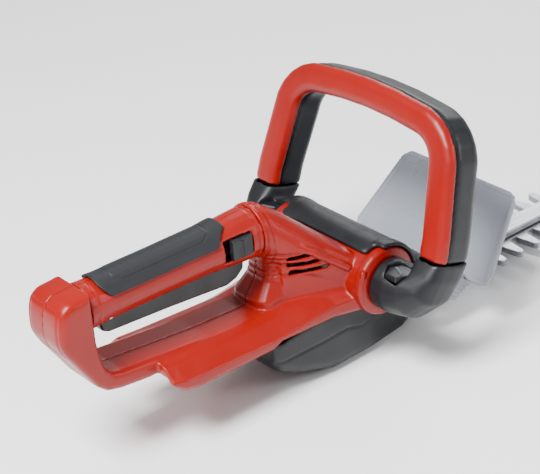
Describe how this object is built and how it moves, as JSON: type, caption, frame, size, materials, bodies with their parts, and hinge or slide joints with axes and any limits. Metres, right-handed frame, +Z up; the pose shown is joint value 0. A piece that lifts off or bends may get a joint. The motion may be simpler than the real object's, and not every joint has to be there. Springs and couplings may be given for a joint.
{
  "type": "cordless hedge trimmer",
  "caption": "Cordless hedge trimmer with a turning rear grip, a tilting front bail handle with a switch bar, a hand shield and a double-sided reciprocating blade.",
  "frame": {"origin": "centre of the gearbox cover's flat underside, straight below the handle pivot and the crank axis", "axes": "+X along the blade towards its tip, +Y to the user's left, +Z up"},
  "size_m": [0.968, 0.2156, 0.2024],
  "materials": {
    "red_shell": "satin moulded plastic, fine grain",
    "dark_shell": "matt moulded plastic",
    "dark_control": "matt moulded plastic",
    "soft_grip": "matt soft-touch overmould",
    "smoke_guard": "translucent grey moulded plastic",
    "blade_steel": "ground and oiled",
    "bar_alloy": "brushed",
    "fixing_steel": "machined",
    "contact_copper": "stamped",
    "circuit_board": "lacquered",
    "lead_red": "smooth insulation",
    "lead_black": "smooth insulation"
  },
  "bodies": {
    "root": {"body_left": "red_shell", "body_right": "red_shell", "body_screw_1": "fixing_steel", "body_screw_2": "fixing_steel", "body_screw_3": "fixing_steel", "rear_spigot": "dark_shell", "front_spigot": "dark_shell", "cover_front": "dark_shell", "cover_gearbox": "dark_shell", "shield": "smoke_guard", "shield_bracket": "smoke_guard", "gear_plate": "bar_alloy", "upper_bearing": "fixing_steel", "lower_bearing": "fixing_steel", "motor_can": "fixing_steel", "guide_bar": "bar_alloy", "blade_bolt_1": "fixing_steel", "blade_bolt_2": "fixing_steel", "blade_bolt_3": "fixing_steel", "blade_bolt_4": "fixing_steel", "tip_guard": "dark_shell", "pivot_bush_left": "dark_shell", "pivot_bush_right": "dark_shell", "terminal_block": "dark_control", "contact_positive": "contact_copper", "contact_negative": "contact_copper", "control_board": "circuit_board", "motor_lead_live": "lead_red", "motor_lead_return": "lead_black"},
    "grip": {"grip_left": "red_shell", "grip_right": "red_shell", "grip_screw": "fixing_steel", "grip_overmould": "soft_grip", "trigger_pin": "fixing_steel", "trigger_switch": "dark_control", "trigger_spring": "fixing_steel"},
    "trigger": {"trigger": "dark_control"},
    "grip_lock": {"grip_lock": "dark_control"},
    "bail": {"bail_handle": "red_shell", "elbow_left": "dark_shell", "elbow_right": "dark_shell", "pivot_shaft": "fixing_steel", "switch_pin_left": "fixing_steel", "switch_pin_right": "fixing_steel", "button_spring_left": "fixing_steel", "button_spring_right": "fixing_steel"},
    "switch_bar": {"switch_bar": "dark_control"},
    "release_button_left": {"release_button_left": "dark_control"},
    "release_button_right": {"release_button_right": "dark_control"},
    "crank": {"crankshaft": "fixing_steel", "drive_gear": "fixing_steel"},
    "rotor": {"rotor": "fixing_steel", "motor_pinion": "fixing_steel", "cooling_fan": "dark_control"},
    "lower_blade": {"lower_blade": "blade_steel", "lower_conrod": "blade_steel", "lower_blade_pin": "blade_steel"},
    "upper_blade": {"upper_blade": "blade_steel", "upper_conrod": "blade_steel", "upper_blade_pin": "blade_steel"}
  },
  "joints": [
    {"name": "grip_turn", "type": "hinge", "parent": "root", "child": "grip", "pos_m": [-0.15, 0, 0.1243], "axis": [1, 0, 0], "range_deg": [-90, 90]},
    {"name": "trigger_pull", "type": "hinge", "parent": "grip", "child": "trigger", "pos_m": [-0.211, 0, 0.114], "axis": [0, -1, 0], "range_deg": [0, 3.5], "stiffness_Nm_per_rad": 2, "springref_deg": -17.19, "deforming": ["trigger_spring"]},
    {"name": "lock_slide", "type": "slide", "parent": "grip", "child": "grip_lock", "axis": [-1, 0, 0], "range_m": [0, 0.004], "stiffness_N_per_m": 300, "springref_m": -0.004},
    {"name": "bail_tilt", "type": "hinge", "parent": "root", "child": "bail", "pos_m": [0, 0, 0.07], "axis": [0, 1, 0], "range_deg": [-45, 45]},
    {"name": "switch_press", "type": "hinge", "parent": "bail", "child": "switch_bar", "pos_m": [0.0226, 0, 0.0892], "axis": [0, -1, 0], "range_deg": [0, 1.1], "stiffness_Nm_per_rad": 12, "springref_deg": -6.88},
    {"name": "button_left_press", "type": "slide", "parent": "bail", "child": "release_button_left", "axis": [0, 0, -1], "range_m": [0, 0.002], "stiffness_N_per_m": 400, "springref_m": -0.003, "deforming": ["button_spring_left"]},
    {"name": "button_right_press", "type": "slide", "parent": "bail", "child": "release_button_right", "axis": [0, 0, -1], "range_m": [0, 0.002], "stiffness_N_per_m": 400, "springref_m": -0.003, "deforming": ["button_spring_right"]},
    {"name": "crank_spin", "type": "hinge", "parent": "root", "child": "crank", "pos_m": [0, 0, 0.0275], "axis": [0, 0, 1], "continuous": true},
    {"name": "rotor_spin", "type": "hinge", "parent": "root", "child": "rotor", "pos_m": [-0.03313, 0, 0.0275], "axis": [0, 0, 1], "continuous": true},
    {"name": "lower_blade_slide", "type": "slide", "parent": "root", "child": "lower_blade", "axis": [1, 0, 0], "range_m": [-0.005, 0.005]},
    {"name": "upper_blade_slide", "type": "slide", "parent": "root", "child": "upper_blade", "axis": [1, 0, 0], "range_m": [-0.005, 0.005]}
  ],
  "couplings": [
    {"joint": "rotor_spin", "follows": "crank_spin", "ratio": -4.8889},
    {"joint": "upper_blade_slide", "follows": "lower_blade_slide", "ratio": -1}
  ]
}
